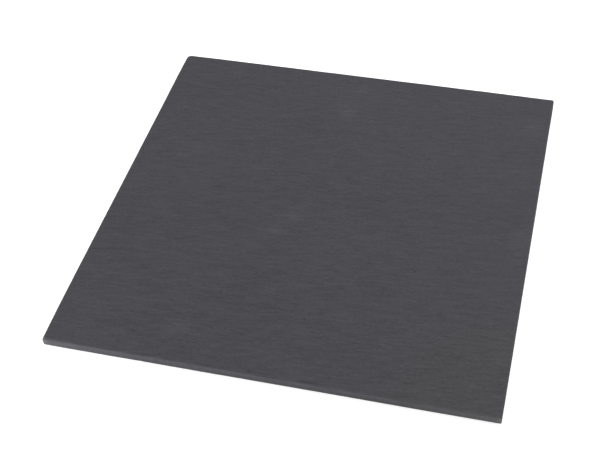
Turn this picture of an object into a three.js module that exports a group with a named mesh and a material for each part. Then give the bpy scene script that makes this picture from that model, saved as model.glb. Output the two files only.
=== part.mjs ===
// A thin square slab of dark stone, used as a hard, flat base for leatherwork.
// It lies on four small self-adhesive rubber feet stuck to its underside.
// Units are millimetres and +Z is up. The origin is on the bench, below the slab's centre,
// and the slab's front edge runs along X at -Y.
import * as THREE from "three";

// Driving dimensions.
const SLAB_SIDE = 300;
const SLAB_THICKNESS = 6;
const ARRIS_RADIUS = 0.5; // rubbed down all round, so that no edge is sharp
const CORNER_RADIUS = { frontLeft: 1.4, frontRight: 0.8, backRight: 1.8, backLeft: 3.5 };
const FOOT_DIAMETER = 12;
const FOOT_THICKNESS = 1;
const FOOT_RIM = 0.4; // bevel round the foot's lower edge
const FOOT_INSET = 25; // from the slab's sides to a foot's centre

// How finely the round stretches are divided.
const CORNER_STEPS = 6;
const ARRIS_STEPS = 3;
const FOOT_STEPS = 32;

const QUARTER_TURN = Math.PI / 2;

const stone = new THREE.MeshStandardMaterial({ color: 0x4e4d52, roughness: 0.8, metalness: 0 });
const rubber = new THREE.MeshStandardMaterial({ color: 0x1c1c1d, roughness: 0.9, metalness: 0 });

// The slab's outline seen from above: a square whose corners are rubbed round by hand.
function slabOutline() {
  const half = SLAB_SIDE / 2;
  const corners = [
    { x: -1, y: -1, radius: CORNER_RADIUS.frontLeft, start: -2 },
    { x: 1, y: -1, radius: CORNER_RADIUS.frontRight, start: -1 },
    { x: 1, y: 1, radius: CORNER_RADIUS.backRight, start: 0 },
    { x: -1, y: 1, radius: CORNER_RADIUS.backLeft, start: 1 },
  ];
  const outline = new THREE.Shape();
  for (const { x, y, radius, start } of corners) {
    const angle = start * QUARTER_TURN;
    outline.absarc(x * (half - radius), y * (half - radius), radius, angle, angle + QUARTER_TURN, false);
  }
  outline.closePath();
  return outline;
}

// The slab is the outline at full thickness, with every arris rounded inside that outline.
function slabMesh() {
  const geometry = new THREE.ExtrudeGeometry(slabOutline(), {
    depth: SLAB_THICKNESS - 2 * ARRIS_RADIUS,
    curveSegments: CORNER_STEPS,
    bevelEnabled: true,
    bevelThickness: ARRIS_RADIUS,
    bevelSize: ARRIS_RADIUS,
    bevelOffset: -ARRIS_RADIUS,
    bevelSegments: ARRIS_STEPS,
  });
  const mesh = new THREE.Mesh(geometry, stone);
  mesh.name = "stone_slab";
  mesh.position.z = FOOT_THICKNESS + ARRIS_RADIUS;
  return mesh;
}

// A foot is a flat disc with a bevelled lower rim, stuck against the slab's underside.
function footMesh(name, x, y) {
  const radius = FOOT_DIAMETER / 2;
  const profile = [
    new THREE.Vector2(0, 0),
    new THREE.Vector2(radius - FOOT_RIM, 0),
    new THREE.Vector2(radius, FOOT_RIM),
    new THREE.Vector2(radius, FOOT_THICKNESS),
    new THREE.Vector2(0, FOOT_THICKNESS),
  ];
  const geometry = new THREE.LatheGeometry(profile, FOOT_STEPS).rotateX(QUARTER_TURN);
  const mesh = new THREE.Mesh(geometry, rubber);
  mesh.name = name;
  mesh.position.set(x, y, 0);
  return mesh;
}

const group = new THREE.Group();
group.add(slabMesh());

const footReach = SLAB_SIDE / 2 - FOOT_INSET;
for (const [row, y] of [["front", -footReach], ["back", footReach]]) {
  for (const [side, x] of [["left", -footReach], ["right", footReach]]) {
    group.add(footMesh(`foot_${row}_${side}`, x, y));
  }
}

export default group;
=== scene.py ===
import math
from collections import namedtuple
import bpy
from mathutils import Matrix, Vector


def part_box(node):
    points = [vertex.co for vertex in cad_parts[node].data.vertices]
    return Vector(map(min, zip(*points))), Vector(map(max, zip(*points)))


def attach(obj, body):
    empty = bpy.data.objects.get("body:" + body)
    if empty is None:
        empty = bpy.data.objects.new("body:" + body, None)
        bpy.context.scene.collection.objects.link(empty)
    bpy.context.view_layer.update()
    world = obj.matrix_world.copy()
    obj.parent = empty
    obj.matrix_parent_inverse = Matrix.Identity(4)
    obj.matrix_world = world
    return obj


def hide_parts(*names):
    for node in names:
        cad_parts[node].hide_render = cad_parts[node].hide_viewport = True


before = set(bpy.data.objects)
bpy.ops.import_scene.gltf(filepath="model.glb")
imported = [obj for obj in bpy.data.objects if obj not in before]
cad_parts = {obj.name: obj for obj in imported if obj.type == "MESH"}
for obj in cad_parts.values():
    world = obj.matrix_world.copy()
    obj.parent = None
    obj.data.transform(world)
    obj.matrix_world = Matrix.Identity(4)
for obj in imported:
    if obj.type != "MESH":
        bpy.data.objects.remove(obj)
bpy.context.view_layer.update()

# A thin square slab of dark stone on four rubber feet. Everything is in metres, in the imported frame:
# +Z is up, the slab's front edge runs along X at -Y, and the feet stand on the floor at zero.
from types import SimpleNamespace

import bpy
import numpy as np
from mathutils import Matrix, Vector

MM = 0.001
TINY = 1e-6  # keeps a direction of no length from being divided by zero
DIAGONAL = math.sqrt(0.5)  # how far a move of 1 at 45 degrees goes each way

# The slab's place and size come from its CAD solid, and its corners have the CAD's radii.
SLAB_LOW, SLAB_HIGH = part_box("stone_slab")
HALF_SIDE = SLAB_HIGH.x
SIDE = 2 * HALF_SIDE
TOP = SLAB_HIGH.z
BOTTOM = SLAB_LOW.z
MID_HEIGHT = (TOP + BOTTOM) / 2

# The arrises' usual radii. The top one is rubbed rounder by use.
TOP_ARRIS = 0.85 * MM
LOW_ARRIS = 0.45 * MM

# What differs from corner to corner, by which way each one lies from the slab's centre: its radius,
# and how much more than usual the top's arris is rubbed down there.
FRONT_LEFT, FRONT_RIGHT, BACK_RIGHT, BACK_LEFT = (-1, -1), (1, -1), (1, 1), (-1, 1)
CORNER_RADIUS = {FRONT_LEFT: 1.4 * MM, FRONT_RIGHT: 0.8 * MM, BACK_RIGHT: 1.8 * MM, BACK_LEFT: 3.5 * MM}
CORNER_RUB = {FRONT_LEFT: 1.4, FRONT_RIGHT: 0.0, BACK_RIGHT: 0.25, BACK_LEFT: 0.2}
CORNER_RUB_REACH = 20 * MM

# The slab's mesh: columns run round its edge, and each face is covered by rings, each with half the
# columns of the one outside it, and then by square cells.
EDGE_COLUMNS = 560  # along each side
RIM_INSETS = [2.6 * MM, 1.6 * MM, 0.9 * MM, 0.4 * MM]  # of the rows on each face next to its arris
TOP_INSETS = [5.8 * MM, 8.2 * MM]
UNDERSIDE_INSETS = [5.8 * MM, 8.2 * MM, 12 * MM]
ARRIS_STEPS = 6
SIDE_STEPS = 8

# The relief of the stone, as depths below the plain solid, and how far the sides' saw marks lean
# for each unit of height.
TOP_WAVE = 0.05 * MM
TOP_STREAK = 0.03 * MM
UNDERSIDE_WAVE = 0.12 * MM
SIDE_WAVE = 0.08 * MM
SAW_MARK = 0.03 * MM
SAW_SLANT = 0.6

# The break at the tip of the top's front left corner: which way it faces, how far below the tip it
# lies, and how wide its paleness fades out.
BREAK_FACING = Vector((-0.62, -0.48, 0.62)).normalized()
BREAK_DEPTH = 1.7 * MM
BREAK_BLUR = 0.2 * MM

# How pale each of the slab's two arrises is rubbed, and its chips, whose lengths are from their
# middles to their ends.
Arris = namedtuple("Arris", "height rub chip_count longest_chip seed")
ARRISES = [Arris(TOP, 0.4, 130, 1.3 * MM, 33), Arris(BOTTOM, 0.15, 80, 0.9 * MM, 41)]
RUB_WIDTH = 1 * MM
SHORTEST_CHIP = 0.4 * MM
BRUISE = 0.4  # how pale a chip is at most
BRUISE_DEPTH = 0.2 * MM  # from what depth it is as pale as that

# How worn the sides are by their corners, as pairs of how far the wear reaches and how strong it is.
CORNER_WEARS = [(3 * MM, 0.5), (40 * MM, 0.22)]

# Pale smudges on the working face, as x, y, half length, half width and strength.
SMUDGES = [
    (-5 * MM, 107 * MM, 7 * MM, 7 * MM, 1.1),
    (2 * MM, 130 * MM, 9 * MM, 5 * MM, 0.8),
    (-19 * MM, -11 * MM, 8 * MM, 5 * MM, 0.8),
    (-28 * MM, -27 * MM, 14 * MM, 2.5 * MM, 0.9),
    (-65 * MM, -124 * MM, 8 * MM, 5 * MM, 0.6),
    (143 * MM, -5 * MM, 7 * MM, 12 * MM, 1.0),
    (138 * MM, 112 * MM, 7 * MM, 10 * MM, 1.0),
]
GREYER_REACH = 95 * MM  # how far from the front right corner the stone is greyer than elsewhere

# Short dark streaks on the working face by its front edge, as x, y, half length and half width.
DARK_STREAKS = [
    (28 * MM, -148.1 * MM, 12 * MM, 1.2 * MM),
    (-10 * MM, -147.4 * MM, 3 * MM, 1.4 * MM),
]

# The stone's grain runs a little off the front edge.
GRAIN_ANGLE = math.radians(6)


# Noise for the shapes -------------------------------------------------------------------------

LATTICE = 256


def smooth_step(share):
    return share * share * (3 - 2 * share)


def lattice_noise(u, v, seed, period=LATTICE):
    """Smooth noise from -1 to 1, with about one feature for each unit. It repeats after period in u."""
    table = np.random.default_rng(seed).uniform(-1.0, 1.0, (period, LATTICE))
    column = np.floor(u).astype(int)
    row = np.floor(v).astype(int)
    across = smooth_step(u - column)
    upward = smooth_step(v - row)

    def knot(right, up):
        return table[(column + right) % period, (row + up) % LATTICE]

    low = knot(0, 0) * (1 - across) + knot(1, 0) * across
    high = knot(0, 1) * (1 - across) + knot(1, 1) * across
    return low * (1 - upward) + high * upward


def face_noise(x, y, along, across, seed):
    """Noise over a face, with features of that length along the grain and that width across it."""
    cosine, sine = math.cos(GRAIN_ANGLE), math.sin(GRAIN_ANGLE)
    return lattice_noise((x * cosine + y * sine) / along, (y * cosine - x * sine) / across, seed)


def edge_noise(place, height, along, across, seed):
    """Noise round the slab's edge, with features of that length round it and that height."""
    features = round(4 * SIDE / along)
    return lattice_noise(place / (4 * SIDE) * features, height / across, seed, features)


# The slab -------------------------------------------------------------------------------------

# One row of points round the slab's edge. Its inset is a plain part plus some arris radii, its
# height is a plain part less some arris radii, and it faces out and up by the last two shares.
EdgeRow = namedtuple("EdgeRow", "inset arris_insets height arris_drops out up")


def edge_rows():
    """The section of the slab's edge, from the top face round to the underside."""
    turns = [step / ARRIS_STEPS * math.pi / 2 for step in range(ARRIS_STEPS + 1)]
    levels = [step / SIDE_STEPS for step in range(1, SIDE_STEPS)]
    top_rim = [EdgeRow(inset, 1, TOP, 0, 0, 1) for inset in RIM_INSETS]
    top_arris = [
        EdgeRow(0, 1 - math.sin(turn), TOP, 1 - math.cos(turn), math.sin(turn), math.cos(turn))
        for turn in turns
    ]
    side = [EdgeRow(0, 0, TOP + (BOTTOM - TOP) * level, 1 - 2 * level, 1, 0) for level in levels]
    low_arris = [
        EdgeRow(0, row.arris_insets, BOTTOM, -row.arris_drops, row.out, -row.up)
        for row in reversed(top_arris)
    ]
    low_rim = [EdgeRow(inset, 1, BOTTOM, 0, 0, -1) for inset in reversed(RIM_INSETS)]
    return top_rim + top_arris + side + low_arris + low_rim


def square_walk(count):
    """count points along each side of a unit square, anticlockwise from its front left corner."""
    step = np.arange(count) / count * 2 - 1
    edge = np.ones(count)
    x = np.concatenate([step, edge, -step, -edge])
    y = np.concatenate([-edge, step, edge, -step])
    return np.stack([x, y], axis=1)


def by_corner(points, values):
    """The value that each point's nearest corner has."""
    chosen = np.zeros(len(points))
    for (right, back), value in values.items():
        chosen[(points[:, 0] * right >= 0) & (points[:, 1] * back >= 0)] = value
    return chosen


def from_arc_centres(points, reach):
    """Each point's offset from its corner's arc centre, or from its side's straight line inside
    the corners. reach is how far out the arc centres lie."""
    reach = np.reshape(reach, (-1, 1))
    return points - np.clip(points, -reach, reach)


def outline(walk, inset):
    """The walk's points, at that inset from the sides, drawn in onto the corners' arcs. The inset
    is one length, or one for each point."""
    inset = np.broadcast_to(inset, len(walk))
    points = walk * (HALF_SIDE - inset)[:, None]
    arc_radius = np.maximum(by_corner(walk, CORNER_RADIUS) - inset, 0)
    away = from_arc_centres(points, HALF_SIDE - inset - arc_radius)
    in_corner = (np.abs(away) > 0).all(axis=1)
    length = np.linalg.norm(away[in_corner], axis=1, keepdims=True)
    drawn_in = away[in_corner] * (arc_radius[in_corner, None] / length)
    points[in_corner] += drawn_in - away[in_corner]
    return points


def perimeter_place(x, y):
    """How far round the slab a point near its edge is, from the front left corner."""
    on_front_or_back = np.abs(y) > np.abs(x)
    front_or_back = np.where(y < 0, x + HALF_SIDE, 2 * SIDE + HALF_SIDE - x)
    right_or_left = np.where(x > 0, SIDE + HALF_SIDE + y, 3 * SIDE + HALF_SIDE - y)
    return np.where(on_front_or_back, front_or_back, right_or_left)


def corner_distance(place):
    """How far round the slab a place is from the nearest corner."""
    return np.abs((place + HALF_SIDE) % SIDE - HALF_SIDE)


def arris_radius(place, usual, seed):
    """The arris was rubbed down by hand, so that its radius varies along the edge."""
    slow = edge_noise(place, 0 * place, 22 * MM, 1, seed)
    quick = edge_noise(place, 0 * place, 3 * MM, 1, seed + 1)
    return usual * (1 + 0.18 * slow + 0.1 * quick)


def corner_rub(walk, place):
    """How much rounder than elsewhere the top's arris is rubbed towards each corner."""
    return by_corner(walk, CORNER_RUB) * np.exp(-((corner_distance(place) / CORNER_RUB_REACH) ** 2))


def chips(place, gap, arris):
    """How deep small chips cut the stone, at points that lie gap away from an arris. Each chip is a
    bowl, and most of them are short."""
    rng = np.random.default_rng(arris.seed)
    depth = np.zeros(len(place))
    for _ in range(arris.chip_count):
        centre = rng.uniform(0, 4 * SIDE)
        length = SHORTEST_CHIP + (arris.longest_chip - SHORTEST_CHIP) * rng.random() ** 3
        reach = length * rng.uniform(0.45, 0.8)
        deepest = reach * rng.uniform(0.2, 0.42)
        along = np.abs(place - centre)
        along = np.minimum(along, 4 * SIDE - along)
        bowl = 1 - (along / length) ** 2 - (gap / reach) ** 2
        depth = np.maximum(depth, deepest * np.clip(bowl, 0, 1) ** 0.6)
    return depth


def break_tip(points):
    """Breaks off the tip of the top's front left corner. Returns which points lie on the break."""
    tip = (-HALF_SIDE, -HALF_SIDE, TOP)
    beyond = (points - tip) @ BREAK_FACING + BREAK_DEPTH
    points -= np.outer(np.clip(beyond, 0, None), BREAK_FACING)
    return smooth_step(np.clip(beyond / BREAK_BLUR + 0.5, 0, 1))


class Shell:
    """The points and faces of one closed mesh. A ring is the numbers of the points round it."""

    def __init__(self):
        self.points = []
        self.facing = []
        self.faces = []
        self.size = 0

    def add(self, points, height, out, up):
        """Adds points at that height, which face out and up by those shares, and numbers them."""
        self.points.append(np.column_stack([points, np.broadcast_to(height, len(points))]))
        self.facing.append(np.tile([out, up], (len(points), 1)))
        self.size += len(points)
        return np.arange(self.size - len(points), self.size)

    def strip(self, ring, outer):
        """Joins a ring to the next one along the section, with a square face for each column."""
        self.faces += np.column_stack(
            [outer, np.roll(outer, -1), np.roll(ring, -1), ring]
        ).tolist()

    def halve(self, ring, outer, up):
        """Joins a ring to one with twice its columns, with three triangles for each column."""
        after = np.roll(ring, -1)
        first, middle, last = outer[0::2], outer[1::2], np.roll(outer, -2)[0::2]
        for triangle in ((first, middle, ring), (middle, after, ring), (middle, last, after)):
            corners = triangle if up > 0 else triangle[::-1]
            self.faces += np.column_stack(corners).tolist()

    def fill(self, ring, inset, height, up):
        """Covers what is inside a ring with square cells."""
        cells = len(ring) // 4
        half = HALF_SIDE - inset
        line = np.linspace(-half, half, cells + 1)[1:-1]
        x, y = np.meshgrid(line, line)
        grid = np.zeros((cells + 1, cells + 1), int)
        inside = self.add(np.column_stack([x.ravel(), y.ravel()]), height, 0, up)
        grid[1:-1, 1:-1] = inside.reshape(cells - 1, cells - 1)
        grid[0, :-1] = ring[:cells]
        grid[:-1, -1] = ring[cells:2 * cells]
        grid[-1, :0:-1] = ring[2 * cells:3 * cells]
        grid[:0:-1, 0] = ring[3 * cells:]
        corners = [grid[:-1, :-1], grid[:-1, 1:], grid[1:, 1:], grid[1:, :-1]]
        if up < 0:
            corners.reverse()
        self.faces += np.column_stack([corner.ravel() for corner in corners]).tolist()

    def cover(self, outer, insets, height, up):
        """Covers a face inside a ring with rings at those insets, and then with square cells."""
        columns = len(outer) // 4
        for inset in insets:
            columns //= 2
            ring = self.add(outline(square_walk(columns), inset), height, 0, up)
            self.halve(ring, outer, up)
            outer = ring
        self.fill(outer, insets[-1], height, up)


def plain_slab():
    """The slab's mesh before its relief: its edge row by row, and then its two faces."""
    shell = Shell()
    walk = square_walk(EDGE_COLUMNS)
    place = perimeter_place(*(walk * HALF_SIDE).T)
    top_arris = arris_radius(place, TOP_ARRIS, seed=11) + TOP_ARRIS * corner_rub(walk, place)
    low_arris = arris_radius(place, LOW_ARRIS, seed=21)
    rings = []
    for row in edge_rows():
        share = (row.height - BOTTOM) / (TOP - BOTTOM)
        radius = low_arris * (1 - share) + top_arris * share
        points = outline(walk, row.inset + row.arris_insets * radius)
        rings.append(shell.add(points, row.height - row.arris_drops * radius, row.out, row.up))
    for ring, outer in zip(rings, rings[1:]):
        shell.strip(ring, outer)
    shell.cover(rings[0], TOP_INSETS, TOP, up=1)
    shell.cover(rings[-1], UNDERSIDE_INSETS, BOTTOM, up=-1)
    return shell


def outward_way(points):
    """Which way each point's side or corner faces, seen from above."""
    away = from_arc_centres(points[:, :2], HALF_SIDE - by_corner(points, CORNER_RADIUS))
    return away / np.maximum(np.linalg.norm(away, axis=1, keepdims=True), TINY)


def face_relief(x, y, up):
    """How deep the shallow waves of the working face and of the underside lie."""
    wave = 0.5 + 0.5 * face_noise(x, y, 70 * MM, 40 * MM, seed=1)
    streak = 0.5 + 0.5 * face_noise(x, y, 34 * MM, 5 * MM, seed=2)
    under = 0.5 + 0.5 * face_noise(x, y, 45 * MM, 12 * MM, seed=3)
    top_relief = np.clip(up, 0, 1) * (TOP_WAVE * wave + TOP_STREAK * streak)
    return top_relief, np.clip(-up, 0, 1) * UNDERSIDE_WAVE * under


def side_relief(place, z, out):
    """How deep the sides' waves and slanting saw marks lie."""
    wave = 0.5 + 0.5 * edge_noise(place, z, 16 * MM, 5 * MM, seed=4)
    saw_mark = 0.5 + 0.5 * edge_noise(place + SAW_SLANT * z, z, 1.6 * MM, 9 * MM, seed=5)
    return out * (SIDE_WAVE * wave + SAW_MARK * saw_mark)


def corner_wear(place, out):
    """How worn the sides are near their corners."""
    away = corner_distance(place)
    return out * sum(strength * np.exp(-((away / reach) ** 2)) for reach, strength in CORNER_WEARS)


def weather(points, out, up):
    """Cuts the relief, the chips and the break into the slab's points, which face out and up by
    those shares. Returns how worn each point is."""
    x, y, z = points.T.copy()
    place = perimeter_place(x, y)
    inset = HALF_SIDE - np.maximum(np.abs(x), np.abs(y))
    outward = outward_way(points)

    top_relief, under_relief = face_relief(x, y, up)
    points[:, 2] += under_relief - top_relief
    points[:, :2] -= outward * side_relief(place, z, out)[:, None]

    worn = corner_wear(place, out)
    for arris in ARRISES:
        gap = np.hypot(inset, z - arris.height)
        depth = chips(place, gap, arris)
        inward = math.copysign(1, MID_HEIGHT - arris.height)
        points[:, :2] -= outward * (DIAGONAL * depth)[:, None]
        points[:, 2] += inward * DIAGONAL * depth
        patchy = 0.6 + 0.4 * edge_noise(place, z, 5 * MM, 2 * MM, arris.seed + 1)
        rubbed = arris.rub * np.exp(-((gap / RUB_WIDTH) ** 2)) * patchy
        bruised = BRUISE * np.clip(depth / BRUISE_DEPTH, 0, 1)
        worn = np.maximum(worn, rubbed + bruised)
    return np.maximum(worn, break_tip(points))


def smudged(points, up):
    """How smudged each point of the working face is."""
    x, y = points[:, 0], points[:, 1]
    share = np.zeros(len(points))
    for centre_x, centre_y, half_length, half_width, strength in SMUDGES:
        across = ((x - centre_x) / half_length) ** 2 + ((y - centre_y) / half_width) ** 2
        share += strength * np.exp(-across) * np.clip(up, 0, 1)
    return share


def greyer(points):
    """How much greyer than the rest of the stone each point is."""
    away = np.hypot(points[:, 0] - HALF_SIDE, points[:, 1] + HALF_SIDE)
    return np.exp(-((away / GREYER_REACH) ** 2))


def mesh_object(name, points, faces, material):
    """A smooth-shaded mesh of those points and faces, as a new object."""
    mesh = bpy.data.meshes.new(name)
    mesh.from_pydata(points, [], faces)
    mesh.shade_smooth()
    mesh.materials.append(material)
    piece = bpy.data.objects.new(name, mesh)
    bpy.context.scene.collection.objects.link(piece)
    return piece


def add_shares(piece, name, values):
    """Gives a mesh one number for each point, which its material reads by that name."""
    piece.data.attributes.new(name, "FLOAT", "POINT").data.foreach_set("value", values.astype(np.float32))


def build_slab(material):
    shell = plain_slab()
    points = np.concatenate(shell.points)
    out, up = np.concatenate(shell.facing).T
    worn = weather(points, out, up)
    slab = mesh_object("slab", points.tolist(), shell.faces, material)
    add_shares(slab, "sawn", smooth_step(out))
    add_shares(slab, "gauged", np.clip(-up, 0, 1))
    add_shares(slab, "worn", worn)
    add_shares(slab, "smudged", smudged(points, up))
    add_shares(slab, "greyer", greyer(points))
    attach(slab, "root")
    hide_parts("stone_slab")


# The feet -------------------------------------------------------------------------------------

FOOT_COLUMNS = 96
FOOT_RIM = 0.4 * MM
FOOT_RIM_STEPS = 6
FOOT_GROOVES = [2.0 * MM, 3.4 * MM, 4.8 * MM]  # radii of the rings moulded under each foot
GROOVE_HALF_WIDTH = 0.22 * MM
GROOVE_DEPTH = 0.18 * MM
FOOT_BRIM = 0.12 * MM  # the height of the adhesive round the foot's top, and how far it draws in
FOOT_NAMES = ["foot_front_left", "foot_front_right", "foot_back_left", "foot_back_right"]


def foot_profile(radius, height):
    """The foot's section, as (radius, height) from the middle of its base round to its top, which
    is pressed into the hollows of the slab's underside."""
    profile = []
    for groove in FOOT_GROOVES:
        profile += [
            (groove - GROOVE_HALF_WIDTH, 0),
            (groove - GROOVE_HALF_WIDTH / 2, GROOVE_DEPTH),
            (groove + GROOVE_HALF_WIDTH / 2, GROOVE_DEPTH),
            (groove + GROOVE_HALF_WIDTH, 0),
        ]
    for step in range(FOOT_RIM_STEPS + 1):
        turn = step / FOOT_RIM_STEPS * math.pi / 2
        profile.append((radius - FOOT_RIM * (1 - math.sin(turn)), FOOT_RIM * (1 - math.cos(turn))))
    profile.append((radius, height - FOOT_BRIM))
    profile.append((radius, height))
    profile.append((radius - FOOT_BRIM, height + UNDERSIDE_WAVE))
    return profile


def build_foot(name, material):
    low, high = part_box(name)
    centre = (low + high) / 2
    profile = foot_profile((high.x - low.x) / 2, high.z - low.z)
    points = []
    for ring_radius, height in profile:
        for column in range(FOOT_COLUMNS):
            angle = column / FOOT_COLUMNS * math.tau
            points.append((
                centre.x + ring_radius * math.cos(angle),
                centre.y + ring_radius * math.sin(angle),
                low.z + height,
            ))
    faces = []
    for row in range(len(profile) - 1):
        for column in range(FOOT_COLUMNS):
            after = (column + 1) % FOOT_COLUMNS
            here, above = row * FOOT_COLUMNS, (row + 1) * FOOT_COLUMNS
            faces.append((here + column, here + after, above + after, above + column))
    last = (len(profile) - 1) * FOOT_COLUMNS
    faces.append(tuple(reversed(range(FOOT_COLUMNS))))
    faces.append(tuple(range(last, last + FOOT_COLUMNS)))
    foot = mesh_object("rubber_" + name, points, faces, material)
    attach(foot, "root")
    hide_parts(name)


# Materials ------------------------------------------------------------------------------------

# The Mix node has several sockets of each name, and these are its colours' numbers.
MIX_FIRST_COLOUR = 6
MIX_SECOND_COLOUR = 7
MIX_RESULT_COLOUR = 2


class Graph:
    """A material's nodes, each added with its settings and with values or links for its inputs."""

    def __init__(self, name):
        self.material = bpy.data.materials.new(name)
        self.material.use_nodes = True
        self.tree = self.material.node_tree
        self.shader = self.tree.nodes["Principled BSDF"]

    def feed(self, node, inputs):
        """Sets each of those inputs of a node to a value, or links it to another node's output."""
        for socket, value in inputs.items():
            if isinstance(value, bpy.types.NodeSocket):
                self.tree.links.new(value, node.inputs[socket])
            else:
                node.inputs[socket].default_value = value

    def add(self, kind, inputs, **settings):
        """Adds a node of that kind."""
        node = self.tree.nodes.new("ShaderNode" + kind)
        for setting, value in settings.items():
            setattr(node, setting, value)
        self.feed(node, inputs)
        return node

    def place(self, size, turn=0.0):
        """The surface's own coordinates, divided by size along axes that are turned about Z."""
        coordinates = self.add("TexCoord", {}).outputs["Object"]
        turned = self.add("VectorRotate", {"Vector": coordinates, "Angle": -turn}, rotation_type="Z_AXIS")
        scale = tuple(1 / length for length in size)
        return self.add("VectorMath", {0: turned.outputs[0], 1: scale}, operation="MULTIPLY").outputs[0]

    def noise(self, size, turn=0.0, detail=2.0, roughness=0.5):
        """Noise from 0 to 1, with features of about that size along the turned axes."""
        inputs = {"Vector": self.place(size, turn), "Scale": 1.0, "Detail": detail, "Roughness": roughness}
        return self.add("TexNoise", inputs).outputs["Fac"]

    def math(self, operation, *values):
        return self.add("Math", dict(enumerate(values)), operation=operation).outputs[0]

    def times(self, first, second):
        return self.math("MULTIPLY", first, second)

    def weigh(self, start, *pairs):
        """start plus each value's distance from its middle, 0.5, times its weight."""
        total = self.math("SUBTRACT", start, 0.5 * sum(weight for _, weight in pairs))
        for value, weight in pairs:
            total = self.math("MULTIPLY_ADD", value, weight, total)
        return total

    def span(self, value, low, high, to_low=0.0, to_high=1.0):
        """value as it goes from low to high, smoothly turned into a value from to_low to to_high."""
        inputs = {"Value": value, "From Min": low, "From Max": high, "To Min": to_low, "To Max": to_high}
        return self.add("MapRange", inputs, interpolation_type="SMOOTHSTEP").outputs[0]

    def blend(self, share, first, second):
        """The first colour with that share of the second one mixed into it."""
        mix = self.add("Mix", {}, data_type="RGBA")
        self.feed(mix, {"Factor": share, MIX_FIRST_COLOUR: first, MIX_SECOND_COLOUR: second})
        return mix.outputs[MIX_RESULT_COLOUR]

    def streak_at(self, x, y, half_length, half_width):
        """1 in the middle of a flat streak that lies along X round that point, and 0 round it."""
        coordinates = self.add("TexCoord", {}).outputs["Object"]
        away = self.add("VectorMath", {0: coordinates, 1: (x, y, TOP)}, operation="SUBTRACT")
        shares = (1 / half_length, 1 / half_width, 0)
        scaled = self.add("VectorMath", {0: away.outputs[0], 1: shares}, operation="MULTIPLY")
        length = self.add("VectorMath", {0: scaled.outputs[0]}, operation="LENGTH")
        return self.span(length.outputs["Value"], 0.2, 1, 1, 0)

    def relief(self, height):
        """The surface's normal with those heights on it, in millimetres."""
        return self.add("Bump", {"Height": height, "Distance": MM, "Strength": 1.0}).outputs["Normal"]

    def height(self):
        """The surface's own height."""
        coordinates = self.add("TexCoord", {}).outputs["Object"]
        return self.add("SeparateXYZ", {0: coordinates}).outputs["Z"]

    def attribute(self, name):
        """One of the shares that the mesh gives each of its points."""
        return self.add("Attribute", {}, attribute_name=name).outputs["Fac"]


# The stone's colours, as linear red, green and blue. The violet cast is slight.
STONE_DARK = (0.0300, 0.0289, 0.0348, 1)
STONE_LIGHT = (0.0762, 0.0733, 0.0884, 1)
SAWN_DARK = (0.033, 0.032, 0.038, 1)
SAWN_LIGHT = (0.066, 0.064, 0.075, 1)
WORN_STONE = (0.13, 0.128, 0.136, 1)
FLECK = (0.15, 0.148, 0.154, 1)
STREAK_DARK = (0.022, 0.022, 0.023, 1)


def stone_noises(graph):
    """The noises that the stone's colour, gloss and relief share. Each is about 0.5 in its middle."""
    return SimpleNamespace(
        mottle=graph.noise((120 * MM, 75 * MM, 60 * MM)),
        cloud=graph.noise((26 * MM, 12 * MM, 3 * MM), detail=3),
        streak=graph.noise((11 * MM, 1.7 * MM, 0.6 * MM), GRAIN_ANGLE, detail=3, roughness=0.6),
        fine=graph.noise((2.4 * MM, 0.8 * MM, 0.3 * MM), GRAIN_ANGLE),
        grit=graph.noise((0.35 * MM, 0.35 * MM, 0.35 * MM), roughness=0.6),
        saw_mark=graph.noise((0.9 * MM, 0.9 * MM, 14 * MM)),
        gauge_mark=graph.noise((140 * MM, 1.1 * MM, 2 * MM)),
    )


def plain_stone(graph, noise, sawn, gauged):
    """The stone as it was cut: streaked along the grain on its working face, with upright saw marks
    on its sides, and long marks of a gauging saw underneath. The sides are painted darker towards the
    bottom, as painted shade."""
    face_marks = [
        (noise.mottle, 0.2),
        (noise.cloud, 0.38),
        (noise.streak, 1.1),
        (noise.fine, 0.85),
        (noise.grit, 0.8),
    ]
    side_marks_and_shade = [
        (noise.mottle, 0.3),
        (noise.cloud, 0.4),
        (noise.saw_mark, 0.9),
        (noise.grit, 0.7),
        # painted shade: darkens the sides towards their lower arris, as if the floor beside them shaded
        # them
        (graph.span(graph.height(), BOTTOM, TOP), 0.35),
    ]
    face_tone = graph.weigh(0.5, *face_marks)
    side_tone = graph.weigh(0.33, *side_marks_and_shade)
    under_tone = graph.weigh(face_tone, (noise.gauge_mark, 0.8))
    colour = graph.blend(face_tone, STONE_DARK, STONE_LIGHT)
    colour = graph.blend(gauged, colour, graph.blend(under_tone, SAWN_DARK, SAWN_LIGHT))
    return graph.blend(sawn, colour, graph.blend(side_tone, SAWN_DARK, SAWN_LIGHT))


def marked_stone(graph, noise, cut, worn, colour):
    """Adds what use has left, pale rubbed arrises and pale smudges on the working face, and a few short
    dark streaks on the working face by its front edge."""
    rubbed = graph.times(worn, graph.span(noise.grit, 0.3, 0.7, 0.5, 0.85))
    colour = graph.blend(rubbed, colour, WORN_STONE)
    patchy = graph.span(graph.weigh(0.5, (noise.cloud, 0.5), (noise.streak, 0.8)), 0.3, 0.7, 0.06, 0.22)
    colour = graph.blend(graph.times(graph.attribute("smudged"), patchy), colour, WORN_STONE)
    on_face = graph.math("SUBTRACT", 1, cut)
    uneven = graph.times(on_face, graph.span(noise.fine, 0.3, 0.7, 0.4, 0.7))
    for streak_place in DARK_STREAKS:
        share = graph.times(graph.streak_at(*streak_place), uneven)
        colour = graph.blend(share, colour, STREAK_DARK)
    return colour


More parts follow.
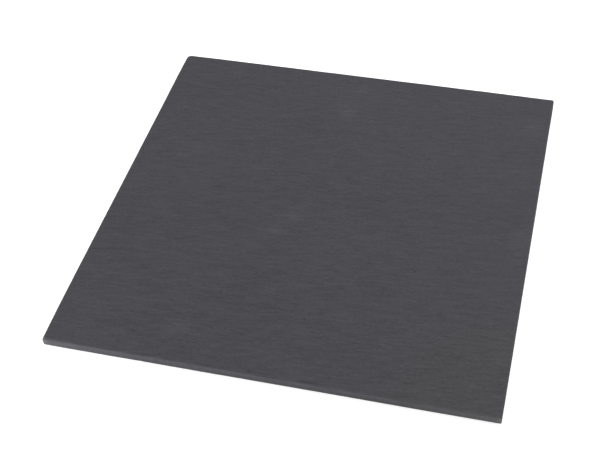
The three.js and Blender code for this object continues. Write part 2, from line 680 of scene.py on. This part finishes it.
def flecked_stone(graph, noise, colour):
    """Adds small pale flecks, at the middles of about a fifth of the stone's cells."""
    cell_place = graph.place((7 * MM, 5 * MM, 5 * MM), GRAIN_ANGLE)
    cells = graph.add("TexVoronoi", {"Vector": cell_place, "Scale": 1.0})
    from_middle = graph.weigh(cells.outputs["Distance"], (noise.grit, 0.12))
    in_fleck = graph.span(from_middle, 0.02, 0.08, 1, 0)
    cell_draw = graph.add("SeparateColor", {"Color": cells.outputs["Color"]}).outputs[0]
    strength = graph.span(cell_draw, 0.65, 0.9, 0, 0.5)
    return graph.blend(graph.times(in_fleck, strength), colour, FLECK)


def stone_relief(graph, noise, sawn, gauged):
    """The stone's fine relief: its grain, and its saw marks where it was sawn."""
    grain = graph.weigh(0.0, (noise.streak, 0.03), (noise.fine, 0.02), (noise.grit, 0.014))
    upright = graph.times(graph.times(noise.saw_mark, 0.07), sawn)
    long_marks = graph.times(graph.times(noise.gauge_mark, 0.12), gauged)
    return graph.relief(graph.math("ADD", grain, graph.math("ADD", upright, long_marks)))


def stone_material():
    """Matt, close-grained dark stone."""
    graph = Graph("dark_stone")
    noise = stone_noises(graph)
    sawn, gauged, worn = graph.attribute("sawn"), graph.attribute("gauged"), graph.attribute("worn")
    cut = graph.math("MAXIMUM", sawn, gauged)

    colour = plain_stone(graph, noise, sawn, gauged)
    colour = marked_stone(graph, noise, cut, worn, colour)
    colour = flecked_stone(graph, noise, colour)
    saturation = graph.span(graph.attribute("greyer"), 0, 1, 1, 0.45)
    greyed = graph.add("HueSaturation", {"Saturation": saturation, "Color": colour})

    polish = graph.weigh(0.5, (noise.cloud, 0.6), (noise.streak, 0.6))
    face_roughness = graph.span(polish, 0.2, 0.8, 0.62, 0.8)
    rougher = graph.span(graph.math("MAXIMUM", cut, worn), 0, 1, 0, 0.14)
    graph.feed(graph.shader, {
        "Base Color": greyed.outputs[0],
        "Roughness": graph.math("ADD", face_roughness, rougher),
        "Normal": stone_relief(graph, noise, sawn, gauged),
        "Specular IOR Level": 0.3,
        "Diffuse Roughness": 0.6,
    })
    return graph.material


RUBBER_DARK = (0.008, 0.008, 0.0085, 1)
RUBBER_LIGHT = (0.022, 0.022, 0.023, 1)


def rubber_material():
    """Black moulded rubber with a faint bloom and a fine matt texture."""
    graph = Graph("foot_rubber")
    bloom = graph.noise((2.5 * MM, 2.5 * MM, 2.5 * MM), detail=3)
    grit = graph.noise((0.15 * MM, 0.15 * MM, 0.15 * MM), detail=1)
    tone = graph.weigh(0.5, (bloom, 1.2), (grit, 0.6))
    graph.feed(graph.shader, {
        "Base Color": graph.blend(tone, RUBBER_DARK, RUBBER_LIGHT),
        "Roughness": graph.span(bloom, 0.3, 0.7, 0.7, 0.9),
        "Normal": graph.relief(graph.times(grit, 0.02)),
    })
    return graph.material


# The room -------------------------------------------------------------------------------------

FLOOR_HALF = 12.0
FLOOR_COLOUR = (0.8, 0.8, 0.8, 1)
FLOOR_GLOW = 0.55
SKY_LOW = 1.05  # the walls' brightness near the horizon
SKY_HIGH = 0.88  # and overhead
SKY_FALL = (0.25, 0.75)  # the sines of the heights between which it falls


def build_floor():
    """A pale table lit a little from below, so that shadows on it stay light."""
    graph = Graph("floor")
    graph.feed(graph.shader, {"Base Color": FLOOR_COLOUR, "Roughness": 0.9, "Specular IOR Level": 0.1})
    graph.feed(graph.shader, {"Emission Color": (1, 1, 1, 1), "Emission Strength": FLOOR_GLOW})
    corners = [(x * FLOOR_HALF, y * FLOOR_HALF, 0) for x, y in ((-1, -1), (1, -1), (1, 1), (-1, 1))]
    floor = mesh_object("floor", corners, [(0, 1, 2, 3)], graph.material)


def light_room():
    """White walls all round: bright near the horizon, and dimmer overhead."""
    world = bpy.data.worlds.new("studio")
    bpy.context.scene.world = world
    world.use_nodes = True
    nodes, links = world.node_tree.nodes, world.node_tree.links
    direction = nodes.new("ShaderNodeTexCoord").outputs["Generated"]
    upward = nodes.new("ShaderNodeSeparateXYZ")
    links.new(direction, upward.inputs[0])
    fall = nodes.new("ShaderNodeMapRange")
    fall.interpolation_type = "SMOOTHSTEP"
    fall.inputs["From Min"].default_value = SKY_FALL[0]
    fall.inputs["From Max"].default_value = SKY_FALL[1]
    fall.inputs["To Min"].default_value = SKY_LOW
    fall.inputs["To Max"].default_value = SKY_HIGH
    links.new(upward.outputs["Z"], fall.inputs["Value"])
    background = nodes["Background"]
    background.inputs["Color"].default_value = (1, 1, 1, 1)
    links.new(fall.outputs[0], background.inputs["Strength"])


def soft_light(name, place, aim, size, power):
    """A square soft light at that place, facing the point that it is aimed at."""
    lamp = bpy.data.lights.new(name, "AREA")
    lamp.size = size
    lamp.energy = power
    light = bpy.data.objects.new(name, lamp)
    light.location = place
    light.rotation_euler = (Vector(aim) - Vector(place)).to_track_quat("-Z", "Y").to_euler()
    bpy.context.scene.collection.objects.link(light)


# The camera looks down at the slab from in front and a little to the right, rolled slightly, with
# its lens shifted so that the slab sits left of its axis.
CAMERA_AIM = (0.0252, -0.0175, BOTTOM)
CAMERA_DISTANCE = 0.7878
CAMERA_TURN = math.radians(14.77)
CAMERA_HEIGHT = math.radians(47.3)
CAMERA_ROLL = math.radians(-2.49)
CAMERA_LENS = 67.24
CAMERA_SENSOR = 36
CAMERA_SHIFT = -1 / 12


def place_camera():
    """Puts the camera at its distance from its aim, turned and raised from straight in front."""
    back = Vector((
        math.sin(CAMERA_TURN) * math.cos(CAMERA_HEIGHT),
        -math.cos(CAMERA_TURN) * math.cos(CAMERA_HEIGHT),
        math.sin(CAMERA_HEIGHT),
    ))
    data = bpy.data.cameras.new("camera")
    data.sensor_width = CAMERA_SENSOR
    data.lens = CAMERA_LENS
    data.shift_x = CAMERA_SHIFT
    camera = bpy.data.objects.new("camera", data)
    level = back.to_track_quat("Z", "Y").to_matrix()
    camera.matrix_world = (
        Matrix.Translation(Vector(CAMERA_AIM) + back * CAMERA_DISTANCE)
        @ level.to_4x4()
        @ Matrix.Rotation(CAMERA_ROLL, 4, "Z")
    )
    bpy.context.scene.collection.objects.link(camera)
    bpy.context.scene.camera = camera


# The making -----------------------------------------------------------------------------------

place_camera()
build_slab(stone_material())
rubber = rubber_material()
for foot_name in FOOT_NAMES:
    build_foot(foot_name, rubber)
build_floor()
light_room()
soft_light("front_left_light", place=(-0.36, -0.44, 0.05), aim=(-0.05, -HALF_SIDE, 0), size=0.1, power=1.8)
soft_light("back_right_light", place=(0.5, 0.9, 0.9), aim=(0, 0, 0), size=0.8, power=4.6)
bpy.context.scene.view_settings.view_transform = "Standard"
